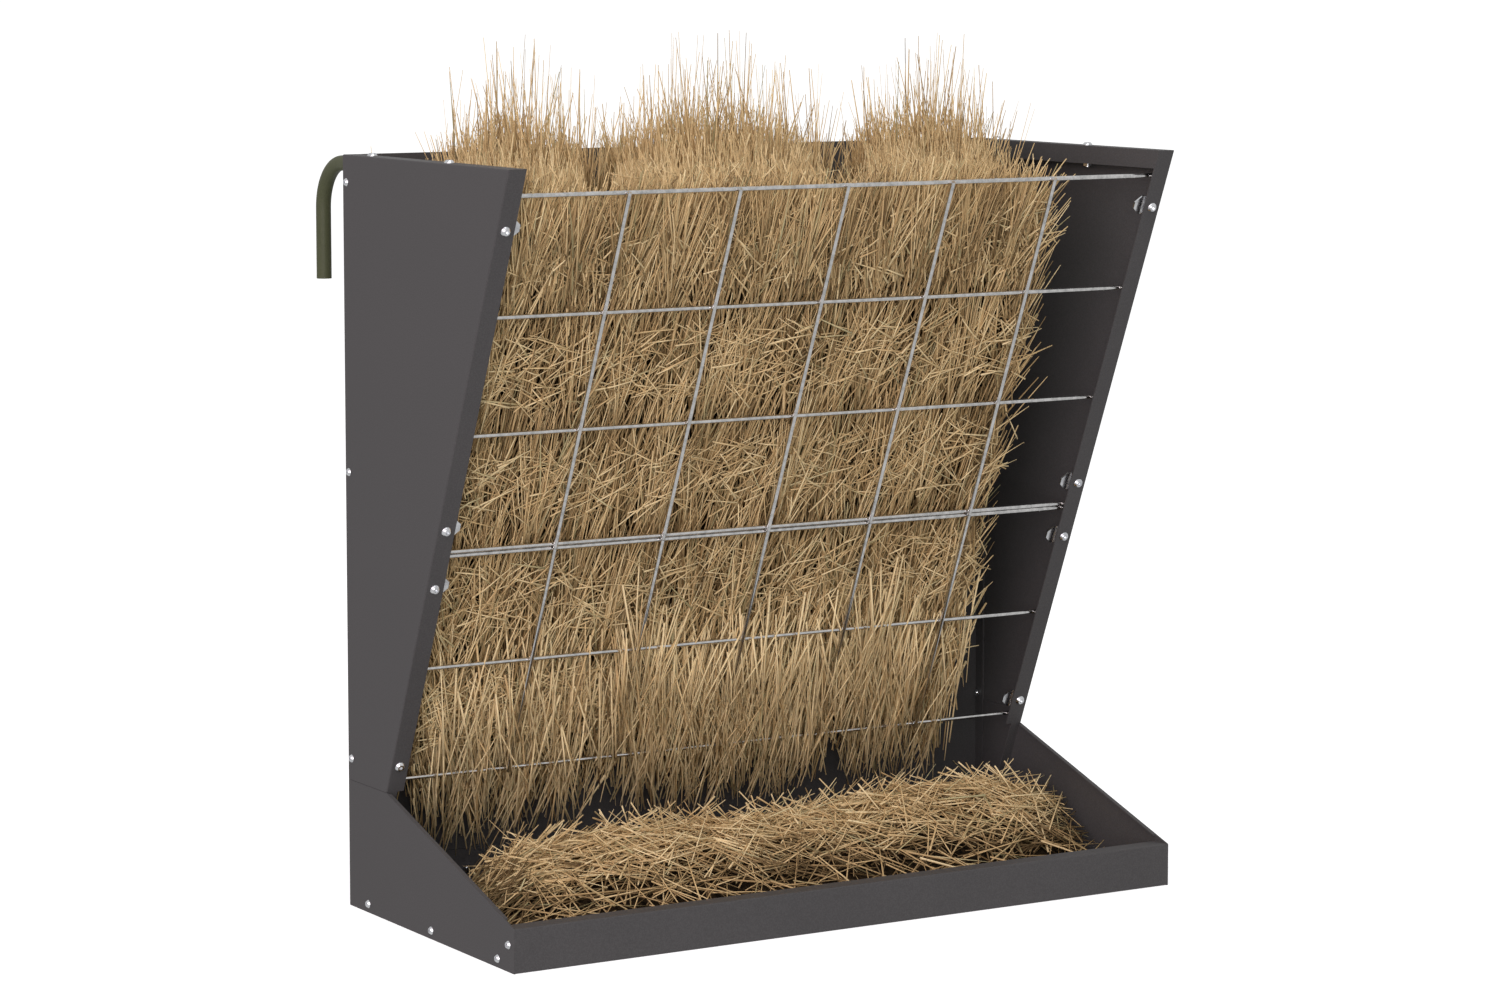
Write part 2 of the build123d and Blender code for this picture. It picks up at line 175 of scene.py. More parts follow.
def paint(name, dark, light, roughness):
    """Powder coat: a fine orange-peel skin, faint clouding, and dust that dulls the gloss in patches."""
    material, nodes, links, shader = new_material(name, Specular_IOR_Level=0.16)
    place = object_points(nodes)
    clouds = noise(nodes, links, place, scale=7.0, detail=4.0, roughness=0.6)
    specks = noise(nodes, links, place, scale=900.0, detail=1.0)
    peel = noise(nodes, links, place, scale=420.0)
    tone = ramp(nodes, links, clouds, (0.3, dark), (0.7, light))
    fleck = remap(nodes, links, specks, (0.35, 0.7), (0.9, 1.12))
    links.new(blend(nodes, links, 1.0, tone, fleck, "MULTIPLY"), shader.inputs["Base Color"])
    dust = remap(nodes, links, clouds, (0.3, 0.7), (roughness - 0.05, roughness + 0.07))
    links.new(dust, shader.inputs["Roughness"])
    bump(nodes, links, shader, peel, strength=0.12, distance=0.3 * MM)
    return material


def metal(name, dark, light, roughness, spangle):
    """Zinc: patches of slightly different brightness, drawing marks and a dull film in places."""
    material, nodes, links, shader = new_material(name, Metallic=1.0)
    place = object_points(nodes)
    film = noise(nodes, links, place, scale=spangle, detail=3.0, roughness=0.65)
    marks = noise(nodes, links, place, scale=1400.0)
    links.new(ramp(nodes, links, film, (0.32, dark), (0.62, light)), shader.inputs["Base Color"])
    dullness = remap(nodes, links, film, (0.3, 0.7), (roughness + 0.1, roughness - 0.03))
    links.new(dullness, shader.inputs["Roughness"])
    bump(nodes, links, shader, marks, strength=0.08, distance=0.1 * MM)
    return material


STRAW_TONES = (  # from the darkest stems to the lightest
    (0.0, (0.19, 0.12, 0.05)), (0.3, (0.52, 0.345, 0.16)),
    (0.65, (0.77, 0.55, 0.275)), (1.0, (0.95, 0.75, 0.43)),
)
GREEN_STRAW = (0.34, 0.36, 0.19)
# nearly black: painted shade that shows in the gaps between the stems
INSIDE_SHADE_TONES = ((0.38, (0.006, 0.004, 0.002)), (0.66, (0.05, 0.032, 0.016)))


def hay_stems(name):
    """Dry stems: each has its own tone, darkened as painted shade where it lies deep, fibres along it and
    darker joints, and a few are greenish.
    """
    material, nodes, links, shader = new_material(name, Specular_IOR_Level=0.35)
    straw = nodes.new("ShaderNodeAttribute")
    straw.attribute_name = "straw"
    grain = nodes.new("ShaderNodeAttribute")
    grain.attribute_name = "grain"
    parts = nodes.new("ShaderNodeSeparateColor")
    links.new(straw.outputs["Color"], parts.inputs["Color"])
    tone, green, along = parts.outputs
    colour = ramp(nodes, links, tone, *STRAW_TONES)
    leafy = remap(nodes, links, green, (0.9, 1.0), (0.0, 0.55))
    colour = blend(nodes, links, leafy, colour, GREEN_STRAW)
    fibres = noise(nodes, links, grain.outputs["Vector"], scale=2.2, detail=3.0, roughness=0.7)
    shade = remap(nodes, links, fibres, (0.3, 0.7), (0.72, 1.14))
    colour = blend(nodes, links, 1.0, colour, shade, "MULTIPLY")
    joint = nodes.new("ShaderNodeMath")
    joint.operation = "PINGPONG"
    joint.inputs[1].default_value = 0.5
    links.new(along, joint.inputs[0])
    band = remap(nodes, links, joint.outputs[0], (0.0, 0.02), (0.62, 1.0))
    colour = blend(nodes, links, 1.0, colour, band, "MULTIPLY")
    links.new(colour, shader.inputs["Base Color"])
    links.new(remap(nodes, links, fibres, (0.3, 0.7), (0.75, 0.5)), shader.inputs["Roughness"])
    bump(nodes, links, shader, fibres, strength=0.4, distance=0.3 * MM)
    return material


def hay_inside(name):
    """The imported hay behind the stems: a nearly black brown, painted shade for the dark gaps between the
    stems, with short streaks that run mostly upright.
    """
    material, nodes, links, shader = new_material(name, Specular_IOR_Level=0.1, Roughness=0.9)
    stretch = nodes.new("ShaderNodeMapping")
    stretch.inputs["Scale"].default_value = (1.0, 1.0, 0.12)
    links.new(object_points(nodes), stretch.inputs["Vector"])
    streaks = noise(nodes, links, stretch.outputs["Vector"], scale=260.0, detail=3.0, roughness=0.7)
    links.new(ramp(nodes, links, streaks, *INSIDE_SHADE_TONES), shader.inputs["Base Color"])
    bump(nodes, links, shader, streaks, strength=0.9, distance=2.5 * MM)
    return material


ANTHRACITE = paint("anthracite_powder_coat", (0.071, 0.068, 0.069), (0.080, 0.0765, 0.0775), 0.5)
OLIVE = paint("olive_paint", (0.062, 0.068, 0.036), (0.085, 0.092, 0.05), 0.42)
GALVANISED = metal("galvanised", (0.54, 0.54, 0.535), (0.80, 0.79, 0.78), 0.13, spangle=160.0)
ZINC = metal("zinc_plated", (0.62, 0.63, 0.66), (0.86, 0.87, 0.89), 0.2, spangle=90.0)
STEMS = hay_stems("hay_stems")
INSIDE_SHADE = hay_inside("hay_inside")

finishes = {
    "anthracite_paint": ANTHRACITE,
    "green_paint": OLIVE,
    "galvanised_wire": GALVANISED,
    "zinc_plate": ZINC,
    "hay": STEMS,
}
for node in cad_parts.values():
    for material_slot in node.material_slots:
        material_slot.material = finishes[material_slot.material.name.split(".")[0]]


# ---- stems ---------------------------------------------------------------------------------------------
def unit(vectors):
    """Vectors of length 1 in the same directions."""
    return vectors / np.linalg.norm(vectors, axis=-1, keepdims=True)


def mesh_object(name, points, faces_of_four, material, body):
    """An object from points and quads that rides on a body and takes the given material."""
    mesh = bpy.data.meshes.new(name)
    mesh.vertices.add(len(points))
    mesh.vertices.foreach_set("co", points.astype(np.float32).ravel())
    mesh.loops.add(faces_of_four.size)
    mesh.loops.foreach_set("vertex_index", faces_of_four.astype(np.int32).ravel())
    mesh.polygons.add(len(faces_of_four))
    mesh.polygons.foreach_set("loop_start", np.arange(0, faces_of_four.size, 4, dtype=np.int32))
    mesh.polygons.foreach_set("use_smooth", np.ones(len(faces_of_four), bool))
    mesh.materials.append(material)
    mesh.update(calc_edges=True)
    mesh.validate()
    piece = bpy.data.objects.new(name, mesh)
    bpy.context.scene.collection.objects.link(piece)
    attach(piece, body)
    return piece


SEGMENTS = 2
FLATNESS = 0.6  # a stem's thickness as a share of its width
OUTLINE = np.array(((1, 0), (0, FLATNESS), (-1, 0), (0, -FLATNESS)))  # a stem's cross-section
SIDES = len(OUTLINE)
BOW = 0.018  # how far a stem bends sideways, as a share of its length
JOINT_SPACING = 70 * MM
FIBRE_LENGTH = 30 * MM


def stem_faces(count):
    """The quads of a number of stems, as point numbers: their walls and both their ends."""
    corner = np.arange(SIDES)
    turned = (corner + 1) % SIDES
    first_wall = np.stack((corner, turned, turned + SIDES, corner + SIDES), 1)
    walls = [first_wall + SIDES * segment for segment in range(SEGMENTS)]
    ends = [corner[::-1], corner + SIDES * SEGMENTS]
    one = np.concatenate([*walls, ends])
    first_points = np.arange(count) * SIDES * (SEGMENTS + 1)
    return (one[None] + first_points[:, None, None]).reshape(-1, 4)


def point_attribute(piece, name, kind, field, values):
    """Stores values on a piece's points, for its material to read."""
    data = piece.data.attributes.new(name, kind, "POINT").data
    data.foreach_set(field, values.astype(np.float32).ravel())


def mark_stems(piece, tone, along):
    """Gives stems what their material reads, from each one's tone and each ring's distance along it."""
    count = len(tone)
    straw = np.ones((count, SEGMENTS + 1, SIDES, 4))  # tone, greenness and place along, counted in joints
    straw[..., 0] = tone[:, None, None]
    straw[..., 1] = draw.random(count)[:, None, None]
    straw[..., 2] = (along / JOINT_SPACING + draw.random(count)[:, None])[:, :, None]
    point_attribute(piece, "straw", "FLOAT_COLOR", "color", straw)
    grain = np.zeros((count, SEGMENTS + 1, SIDES, 3))  # where the fibre noise is read: drawn out along a stem
    grain[..., :2] = OUTLINE * 1.5
    grain[..., 2] = (along / FIBRE_LENGTH)[:, :, None]
    grain += draw.random((count, 1, 1, 3)) * 50
    point_attribute(piece, "grain", "FLOAT_VECTOR", "vector", grain)


def stems(name, body, groups):
    """Many stems in one mesh: four-sided, flattened, hardly bowed and narrower at the tip.

    Each group is (root, tip, width, tone, point), one row or number per stem.
    """
    root, tip, width, tone, point = (np.concatenate(column) for column in zip(*groups))
    count = len(root)
    span = tip - root
    length = np.linalg.norm(span, axis=1)
    sideways = unit(np.cross(span, draw.normal(size=(count, 3))))
    swing = sideways * (length * draw.normal(0, BOW, count))[:, None]
    t = np.linspace(0, 1, SEGMENTS + 1)
    arch = 4 * t * (1 - t)
    centre = root[:, None] + span[:, None] * t[None, :, None] + swing[:, None] * arch[None, :, None]
    flat = unit(np.cross(span, draw.normal(size=(count, 3))))
    thick = unit(np.cross(span, flat))
    half = width[:, None] / 2 * (1 - (1 - point[:, None]) * t[None, :] ** 1.5)
    offset = OUTLINE[:, 0, None] * flat[:, None, None] + OUTLINE[:, 1, None] * thick[:, None, None]
    ring = centre[:, :, None] + half[:, :, None, None] * offset
    piece = mesh_object(name, ring.reshape(-1, 3), stem_faces(count), STEMS, body)
    mark_stems(piece, tone, length[:, None] * t[None])


THIN, THICK = 1.3 * MM, 2.3 * MM
TONE_SPREAD = 0.22
PAINTED_SHADE_FADE = 27 * MM  # depth below the surface over which stems go from light to dark: painted shade for the deeper stems


def keep_between(root, tip, axis, low, high):
    """Moves each stem along an axis until both its ends are between the limits."""
    ends = np.stack((root[:, axis], tip[:, axis]))
    shift = np.clip(low - ends.min(0), 0, None) - np.clip(ends.max(0) - high, 0, None)
    root[:, axis] += shift
    tip[:, axis] += shift


def group(root, tip, depth=0.0, bright=0.5, thin=THIN, thick=THICK, point=0.5):
    """A group for stems(), clear of the back sheet, with random widths, and tones that darken with depth as
    painted shade.
    """
    count = len(root)
    keep_between(root, tip, Y, cad_low.y, BACK_LIMIT)
    # painted shade: a stem's tone darkens the deeper it lies
    tone = np.clip(draw.normal(bright, TONE_SPREAD, count) - depth / PAINTED_SHADE_FADE, 0.02, 1)
    return root, tip, draw.uniform(thin, thick, count), tone, np.broadcast_to(point, count)


def keep_behind(root, tip, least):
    """Moves each stem into the hopper until both its ends are at least that far behind the sloping front."""
    depth = np.minimum(depth_of(root), depth_of(tip))
    push = np.clip(least - depth, 0, None)[:, None] * OUT
    root -= push
    tip -= push


def ends_of(centre, direction, length):
    """Both ends of stems given by their middles."""
    reach = unit(direction) * (length / 2)[:, None]
    return centre - reach, centre + reach


# ---- hay in the hopper ----------------------------------------------------------------------------------
HAY = "hopper_hay"
ROW = 117 * MM  # one mesh cell down the slope
ROWS = 5
CLUMP = 46 * MM  # spacing of the clumps that stems fan out from
FACE_DEPTH = 11 * MM  # from the sloping front to the first stems, behind the wires
SURFACE = TOP_Z - 17 * MM  # the hay's general level at the top
FLANK_TOP = SURFACE - 25 * MM
FLANK_FOOT = 150 * MM
TOP_INSET = 70 * MM  # how far short of the CAD hay the right side ends at the top
FLARE, FLARE_LENGTH = 34 * MM, 60 * MM  # it widens quickly at first
LOW_FLARE = 12 * MM  # and evenly all the way down
TUFT_Y, TUFT_DEPTH = 8 * MM, 80 * MM
GAPS = (-149 * MM, 110 * MM)  # where the surface dips, between the tufts
GAP_WIDTH = 24 * MM
DIP_IN_FRONT, DIP_MORE_BEHIND = 8 * MM, 62 * MM
BACK_DROP = 9 * MM
RIGHT_DROP, RIGHT_START, RIGHT_RUN = 24 * MM, 45 * MM, 40 * MM  # the surface falls off at the right end
FRONT_SHIFT = 0.6  # a tuft and its dips lie this much further left for each metre further forward

# how many stems of each sort
FANNED, LYING, LYING_IN_TOP_ROW = 1900, 600, 300  # in each row of the face
IN_FLANK, IN_BACK = 1700, 3200
TOP_UPRIGHT, TOP_LYING = 3000, 550
TALL_FAN, SHORT_FAN = 300, 150

# the shortest and the longest stems of each sort
FANNED_LENGTHS, LYING_LENGTHS = (55 * MM, 125 * MM), (16 * MM, 52 * MM)
FLANK_LENGTHS = (50 * MM, 110 * MM)
TOP_LENGTHS, TOP_LYING_LENGTHS = (60 * MM, 110 * MM), (18 * MM, 45 * MM)
TUFT_LENGTHS = (50 * MM, 100 * MM)
HANGING_LENGTHS, CAUGHT_LENGTHS = (80 * MM, 150 * MM), (60 * MM, 110 * MM)


def right_edge(down):
    """Where the hay ends on the right: well short of the corner at the top, wider further down."""
    flare = FLARE * (1 - np.exp(-down / FLARE_LENGTH))
    return HAY_RIGHT - TOP_INSET + flare + LOW_FLARE * down / SLANT_LENGTH


def surface_level(x, y):
    """The hay's upper surface: lower towards the back, in the gaps between the tufts and at the right end."""
    back = np.clip((y - TOP_Y) / (BACK_Y - TOP_Y), 0, 1)
    level = SURFACE - BACK_DROP * back
    for gap in GAPS:
        middle = gap + FRONT_SHIFT * np.minimum(y - TUFT_Y, 0)
        dip = DIP_IN_FRONT + DIP_MORE_BEHIND * np.clip(1.5 * back, 0, 1)
        level = level - dip * np.exp(-(((x - middle) / GAP_WIDTH) ** 2))
    return level - RIGHT_DROP * np.clip((x - HAY_RIGHT + RIGHT_START) / RIGHT_RUN, 0, 1)


def slope_direction(lean, outwards):
    """Up the sloping front, leaning to the right by an angle, and out of the front by a share."""
    upright = -DOWN * np.cos(lean)[:, None] + ACROSS * np.sin(lean)[:, None]
    return upright + OUT * outwards[:, None]


def fanned(row, count):
    """Stems of one row, in clumps that fan out upwards, or downwards in the lowest row."""
    down = (row + 0.12 + draw.random(count)) * ROW
    place = HAY_LEFT + draw.random(count) * (right_edge(down) - HAY_LEFT)
    phase = place / CLUMP + 0.5 * row + 0.2 * np.sin(place / (70 * MM) + row)
    spread = phase - np.floor(phase) - 0.5  # from -0.5 to 0.5 across a clump
    x = place - spread * CLUMP * 0.35
    edge = np.clip(1 - (right_edge(down) - x) / (45 * MM), 0, 1)
    lean = 0.5 * spread + 0.4 * edge * draw.random(count) + draw.normal(0, 0.17, count)
    length = draw.uniform(*FANNED_LENGTHS, count) * (1 - 0.4 * np.abs(spread)) * (1 - 0.3 * edge)
    waves = 3 * MM * (1 + np.sin(place / (21 * MM) + 2 * row))
    layer = draw.exponential(8 * MM, count) + 7 * MM * np.abs(spread) + waves
    if row == ROWS - 1:
        lean = -1.5 * lean
    root = on_slope(x, down + length / 2, FACE_DEPTH + layer + draw.uniform(0, 5 * MM, count))
    tip = root + unit(slope_direction(lean, draw.normal(0.03, 0.07, count))) * length[:, None]
    return root, tip, layer


def lying_across(row, count):
    """Short light stems that lie across the foot of a row."""
    down = (row + 0.45 + 0.62 * draw.random(count)) * ROW
    x = HAY_LEFT + draw.random(count) * (right_edge(down) + 8 * MM - HAY_LEFT)
    lean = draw.choice((-1, 1), count) * draw.uniform(0.5, 1.5, count)
    layer = draw.exponential(4 * MM, count)
    centre = on_slope(x, down, FACE_DEPTH + 2 * MM + layer)
    direction = slope_direction(lean, draw.normal(0, 0.12, count))
    root, tip = ends_of(centre, direction, draw.uniform(*LYING_LENGTHS, count))
    return root, tip, layer


def face_row(row):
    """One row of the sloping face, as high as one row of mesh cells; the lowest row is a little lighter."""
    groups = []
    top_row = row == 0
    lift = 0.12 if row == ROWS - 1 else 0.0
    lying_count = LYING_IN_TOP_ROW if top_row else LYING
    kinds = ((fanned, FANNED, 0.8 + lift), (lying_across, lying_count, 0.88 + lift))
    for make, count, bright in kinds:
        root, tip, layer = make(row, count)
        keep_between(root, tip, X, HAY_LEFT, HAY_RIGHT + 20 * MM)
        if top_row:
            ragged = draw.normal(3 * MM, 6 * MM, count)
            keep_between(root, tip, Z, 0, surface_level(tip[:, X], tip[:, Y]) + ragged)
        keep_behind(root, tip, FACE_DEPTH)
        groups.append(group(root, tip, layer, bright))
    stems(f"hopper_hay_face_{row + 1}", HAY, groups)


def inside_outline(count):
    """Random places inside the hopper's side outline, from its sloping front to its back: y and z."""
    z = draw.uniform(FLANK_FOOT, FLANK_TOP, count)
    front = TOP_Y + (TOP_Z - z) * (THROAT_Y - TOP_Y) / (TOP_Z - THROAT_Z) + 18 * MM
    return front + draw.random(count) * (BACK_Y - 10 * MM - front), z


def upright_stems(centre, sideways, layer):
    """Stems that stand about upright around given points, with their tops or their feet uppermost."""
    count = len(centre)
    upright = draw.choice((-1, 1), count, p=(0.35, 0.65))
    across = draw.normal(sideways, 0.2, count) * upright
    direction = np.stack((across, draw.normal(0, 0.3, count), upright), 1)
    root, tip = ends_of(centre, direction, draw.uniform(*FLANK_LENGTHS, count))
    keep_between(root, tip, X, HAY_LEFT, HAY_RIGHT + 15 * MM)
    keep_between(root, tip, Y, TOP_Y, BACK_LIMIT)
    keep_between(root, tip, Z, 0, surface_level(centre[:, X], centre[:, Y]) - 6 * MM)
    keep_behind(root, tip, FACE_DEPTH)
    return group(root, tip, layer)


def flanks():
    """The ends of the hay: open on the right, against the side panel on the left."""
    y, z = inside_outline(IN_FLANK)
    layer = draw.exponential(9 * MM, IN_FLANK)
    centre = np.stack((right_edge(down_at(z)) - layer, y, z), 1)
    stems("hopper_hay_flank_right", HAY, [upright_stems(centre, 0.12, layer)])
    y, z = inside_outline(IN_FLANK)
    layer = draw.exponential(3 * MM, IN_FLANK)
    centre = np.stack((HAY_LEFT + 1 * MM + layer, y, z), 1)
    stems("hopper_hay_flank_left", HAY, [upright_stems(centre, 0.0, layer)])


def against_the_back():
    """The hay's back, flat against the back sheet; seen when the hay is lifted out."""
    z = draw.uniform(FLANK_FOOT, FLANK_TOP, IN_BACK)
    x = draw.uniform(HAY_LEFT, right_edge(down_at(z)), IN_BACK)
    layer = draw.exponential(2 * MM, IN_BACK)
    centre = np.stack((x, BACK_Y - 5 * MM - layer, z), 1)
    stems("hopper_hay_back", HAY, [upright_stems(centre, 0.0, layer)])


def top():
    """Upright stems whose tips make the hay's upper surface, and short ones lying across it."""
    count = TOP_UPRIGHT
    x = draw.uniform(HAY_LEFT, right_edge(20 * MM) + 6 * MM, count)
    front = TOP_Y + 22 * MM
    y = front + draw.random(count) * (BACK_Y - 5 * MM - front)
    tip = np.stack((x, y, surface_level(x, y) + draw.normal(0, 10 * MM, count)), 1)
    lean = np.stack((draw.normal(0, 0.27, count), draw.normal(0, 0.15, count), np.ones(count)), 1)
    root = tip - unit(lean) * draw.uniform(*TOP_LENGTHS, count)[:, None]
    keep_between(root, tip, X, HAY_LEFT, HAY_RIGHT)
    keep_between(root, tip, Y, TOP_Y, BACK_LIMIT)
    keep_behind(root, tip, FACE_DEPTH)
    upright = group(root, tip, bright=0.5, point=0.35)

    count = TOP_LYING
    x = draw.uniform(HAY_LEFT + 10 * MM, right_edge(20 * MM) - 30 * MM, count)
    y = draw.uniform(front, TUFT_Y + TUFT_DEPTH / 2, count)
    centre = np.stack((x, y, surface_level(x, y) + draw.uniform(-12 * MM, 12 * MM, count)), 1)
    side = draw.choice((-1, 1), count)
    direction = np.stack((side, draw.normal(0, 0.4, count), draw.uniform(0.1, 1.8, count)), 1)
    root, tip = ends_of(centre, direction, draw.uniform(*TOP_LYING_LENGTHS, count))
    keep_between(root, tip, X, HAY_LEFT, HAY_RIGHT)
    keep_behind(root, tip, FACE_DEPTH)
    stems("hopper_hay_top", HAY, [upright, group(root, tip, bright=0.64)])


TALLEST = 4  # stems of a fan that reach its full height
SHORT_REACH = 0.78  # the height of a short fan, as a share of a tall one's


def fan(x, y, reach, count, slant=0.0):
    """A fan of thin stems standing out of the surface: the upright ones are the longest, and few are long."""
    angle = draw.normal(0, 0.25, count)
    share = 0.25 + 0.75 * draw.random(count) ** 3.0
    angle[:TALLEST] = draw.normal(0, 0.07, TALLEST)
    share[:TALLEST] = draw.uniform(0.95, 1.0, TALLEST)
    length = reach * share * np.clip(1.05 - 1.1 * np.abs(angle), 0.35, 1)
    sunk = draw.uniform(20 * MM, 60 * MM, count)
    depth = y + draw.uniform(-TUFT_DEPTH / 2, TUFT_DEPTH / 2, count)
    tilt = angle + slant
    across = np.stack((np.sin(tilt), draw.normal(0, 0.06, count), np.cos(tilt)), 1)
    foot_x = x + 45 * MM * angle + draw.normal(0, 5 * MM, count)
    foot = np.stack((foot_x, depth, np.full(count, SURFACE)), 1)
    root, tip = foot - across * sunk[:, None], foot + across * length[:, None]
    return group(root, tip, bright=0.5, thin=1.0 * MM, thick=1.7 * MM, point=0.45)


BODY_STEMS = 11000  # for each metre of a tuft's width
BODY_LENGTH, BODY_HEIGHT = 185 * MM, 72 * MM  # from a tuft's back to its front, and above the surface


def tuft_body(left, right):
    """The dense lower part of a tuft: highest in its middle, and falling off towards the front."""
    count = int(BODY_STEMS * (right - left))
    u = draw.uniform(-1, 1, count)
    forward = BODY_LENGTH * draw.random(count) ** 1.6
    y = TUFT_Y + TUFT_DEPTH / 2 - forward
    x = (left + right) / 2 + u * (right - left) / 2 + FRONT_SHIFT * np.minimum(y - TUFT_Y, 0)
    height = BODY_HEIGHT * (1 - 0.5 * u**2) * (1 - 0.8 * forward / BODY_LENGTH)
    tip = np.stack((x, y, SURFACE + height * draw.random(count)), 1)
    lean = np.stack((0.16 * u + draw.normal(0, 0.2, count), draw.normal(0, 0.1, count), np.ones(count)), 1)
    root = tip - unit(lean) * draw.uniform(*TUFT_LENGTHS, count)[:, None]
    return group(root, tip, bright=0.58, thick=2.0 * MM, point=0.4)


def tuft(name, left, right, tall, short):
    """A tuft standing out of the hopper, with tall fans in its middle and short ones at its sides."""
    reach = TUFT_TOP - SURFACE
    groups = [tuft_body(left, right)]
    groups += [fan(x, TUFT_Y, reach, TALL_FAN) for x in tall]
    groups += [fan(x, TUFT_Y, SHORT_REACH * reach, SHORT_FAN) for x in short]
    for root, tip, *_ in groups:
        keep_between(root, tip, X, HAY_LEFT, HAY_RIGHT + 10 * MM)
        keep_behind(root, tip, FACE_DEPTH)
    stems(name, HAY, groups)


HANGING_GAPS = (-109 * MM, 143 * MM)  # between the three bunches that hang over the trough
GAP_RISE, HANGING_GAP_WIDTH = 42 * MM, 20 * MM
HIGHER_ON_RIGHT, LOWER_ON_LEFT = 36 * MM, 12 * MM  # how the lower ends of the hanging hay lie
HANGING_DEPTH = 32 * MM  # how far behind the sloping front their tips may be


def shorter_in_gaps(x):
    """How much higher the hanging stems end between the bunches."""
    return sum(GAP_RISE * np.exp(-(((x - gap) / HANGING_GAP_WIDTH) ** 2)) for gap in HANGING_GAPS)


def hanging(count, low, high):
    """Stems that hang below the mesh, over the trough, their upper ends deeper in the hay."""
    start = HAY_LEFT + 30 * MM
    x = start + draw.random(count) * (right_edge(SLANT_LENGTH) + 15 * MM - start)
    share = (x - start) / (HAY_RIGHT - start)
    end = low + (high - low) * draw.random(count) ** 0.9 + HIGHER_ON_RIGHT * share**3 * draw.random(count)
    end -= LOWER_ON_LEFT * np.clip(1 - share / 0.25, 0, 1) * np.clip(share / 0.05, 0, 1)
    end += shorter_in_gaps(x)
    tip = on_slope(x, down_at(end), draw.uniform(0, HANGING_DEPTH, count))
    spread = x / CLUMP - np.floor(x / CLUMP) - 0.5
    lean = -0.6 * spread + draw.normal(0, 0.19, count)
    rise = unit(slope_direction(lean, draw.uniform(-0.28, -0.1, count)))
    root = tip + rise * draw.uniform(*HANGING_LENGTHS, count)[:, None]
    keep_between(root, tip, X, HAY_LEFT - 4 * MM, HAY_RIGHT + 15 * MM)
    depth = draw.exponential(6 * MM, count)
    return group(root, tip, depth, bright=1.15, thin=1.6 * MM, thick=2.6 * MM, point=0.6)


def caught(count, left, right):
    """Stems that have worked out through the lower mesh and hang in front of its wires."""
    x = draw.uniform(left, right, count)
    end = draw.uniform(90 * MM, 190 * MM, count) + shorter_in_gaps(x)
    tip = on_slope(x, down_at(end), draw.uniform(-6 * MM, -1 * MM, count))
    lean = draw.normal(0, 0.27, count)
    rise = unit(slope_direction(lean, draw.uniform(-0.28, -0.12, count)))
    root = tip + rise * draw.uniform(*CAUGHT_LENGTHS, count)[:, None]
    keep_between(root, tip, X, HAY_LEFT, HAY_RIGHT)
    return group(root, tip, bright=0.95, thin=1.6 * MM, thick=2.6 * MM, point=0.6)


def closed_grid(name, front, back, rows, material, body):
    """A closed shell from a grid of points and the matching points behind or below them."""
    columns = len(front) // rows
    index = np.arange(columns * rows).reshape(rows, columns)
    behind = index + columns * rows
    grid = np.stack((index[:-1, :-1], index[:-1, 1:], index[1:, 1:], index[1:, :-1]), -1).reshape(-1, 4)
    rims = [
        np.stack((line[1:], line[:-1], other[:-1], other[1:]), 1)
        for line, other in (
            (index[0], behind[0]), (index[-1, ::-1], behind[-1, ::-1]),
            (index[::-1, 0], behind[::-1, 0]), (index[:, -1], behind[:, -1]),
        )
    ]
    faces = np.concatenate((grid, grid[:, ::-1] + columns * rows, *rims))
    return mesh_object(name, np.concatenate((front, back)), faces, material, body)


CORE_FOOT, CORE_TOP = 120 * MM, SURFACE - 45 * MM


def hay_core():
    """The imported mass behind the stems, a closed wedge with a lumpy skin, set back from the face."""
    across, high = 60, 56
    share, z = np.meshgrid(np.linspace(0, 1, across), np.linspace(CORE_FOOT, CORE_TOP, high))
    down = down_at(z)
    x = HAY_LEFT + 8 * MM + share * (right_edge(down) - 24 * MM - HAY_LEFT)
    lumps = 3 * MM * (np.sin(x / 0.017 + 2 * np.sin(z / 0.03)) + np.sin(z / 0.021 + 2 * np.sin(x / 0.04)))
    front = on_slope(x.ravel(), down.ravel(), (FACE_DEPTH + 27 * MM + lumps).ravel())
    back = front.copy()
    back[:, Y] = np.maximum(BACK_Y - 12 * MM, front[:, Y] + 4 * MM)
    # its nearly black material is painted shade for the gaps between the stems
    return closed_grid("hopper_hay_inside", front, back, high, INSIDE_SHADE, HAY)


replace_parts(hay_core(), HAY)
for row in range(ROWS):
    face_row(row)
flanks()
against_the_back()
top()
tuft("hopper_hay_tuft_left", -0.300, -0.162, tall=(-0.230,), short=(-0.282, -0.177))
tuft("hopper_hay_tuft_middle", -0.131, 0.087, tall=(-0.056, 0.011), short=(-0.112, 0.068))
tuft("hopper_hay_tuft_right", 0.137, 0.275, tall=(0.212,), short=(0.161, 0.259))
stems("hopper_hay_strays", HAY, [fan(x=0.21, y=-95 * MM, reach=66 * MM, count=45, slant=0.25)])
stems("hopper_hay_hanging", HAY, [hanging(1900, 51 * MM, 160 * MM), hanging(260, 44 * MM, 80 * MM)])
stems("hay_caught_in_mesh", "rack", [caught(520, -0.12, 0.215), caught(70, -0.30, -0.12)])

